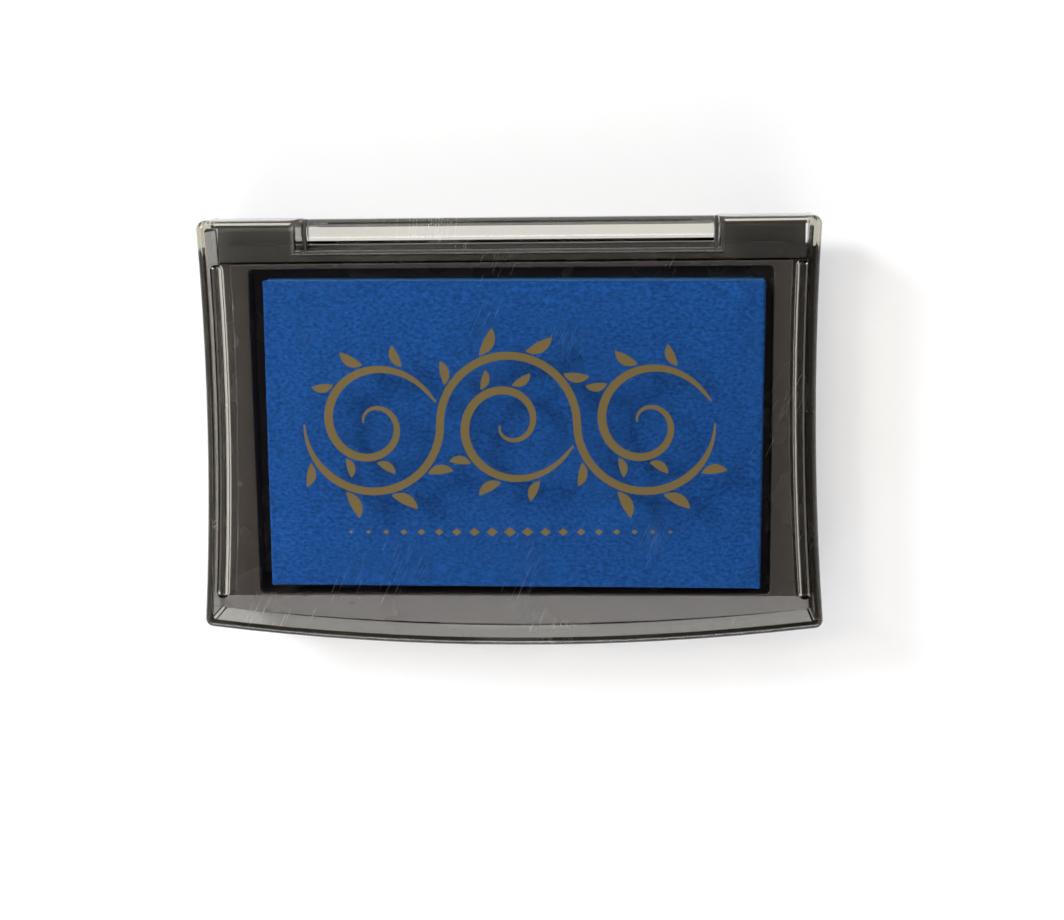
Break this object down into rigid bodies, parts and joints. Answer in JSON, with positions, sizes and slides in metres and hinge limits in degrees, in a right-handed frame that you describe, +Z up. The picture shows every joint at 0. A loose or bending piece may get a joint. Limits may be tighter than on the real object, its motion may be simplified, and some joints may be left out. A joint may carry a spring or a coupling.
{
  "type": "ink pad",
  "caption": "Hinged stamp ink pad: a raised cloth-covered pad in a black plastic base, under a clear lid that folds back flat behind it.",
  "frame": {"origin": "on the surface the closed case rests on, under the middle of its bounding box", "axes": "+Z up, +Y towards the hinge at the rear, -Y towards the bowed front edge, X along the hinge"},
  "size_m": [0.0954, 0.0654, 0.019],
  "materials": {
    "clear_plastic": "clear injection-moulded polystyrene, polished, with fine handling scratches",
    "black_plastic": "black injection-moulded polystyrene, satin",
    "tray_plastic": "black injection-moulded polystyrene, soft gloss",
    "inked_cloth": "fine crepe cloth soaked with blue pigment ink",
    "inked_foam": "dense ink-soaked felt foam, hidden under the cloth",
    "glue_sheet": "double-sided sheet, hidden under the foam",
    "label_paper": "plain matt sticker"
  },
  "bodies": {
    "base": {"base_shell": "black_plastic", "pad_tray": "tray_plastic", "pad_glue": "glue_sheet", "ink_foam": "inked_foam", "ink_cloth": "inked_cloth", "base_label": "label_paper"},
    "lid": {"lid": "clear_plastic"}
  },
  "joints": [
    {"name": "lid_hinge", "type": "hinge", "parent": "base", "child": "lid", "pos_m": [0, 0.03055, 0.0095], "axis": [-1, 0, 0], "range_deg": [0, 180]}
  ]
}
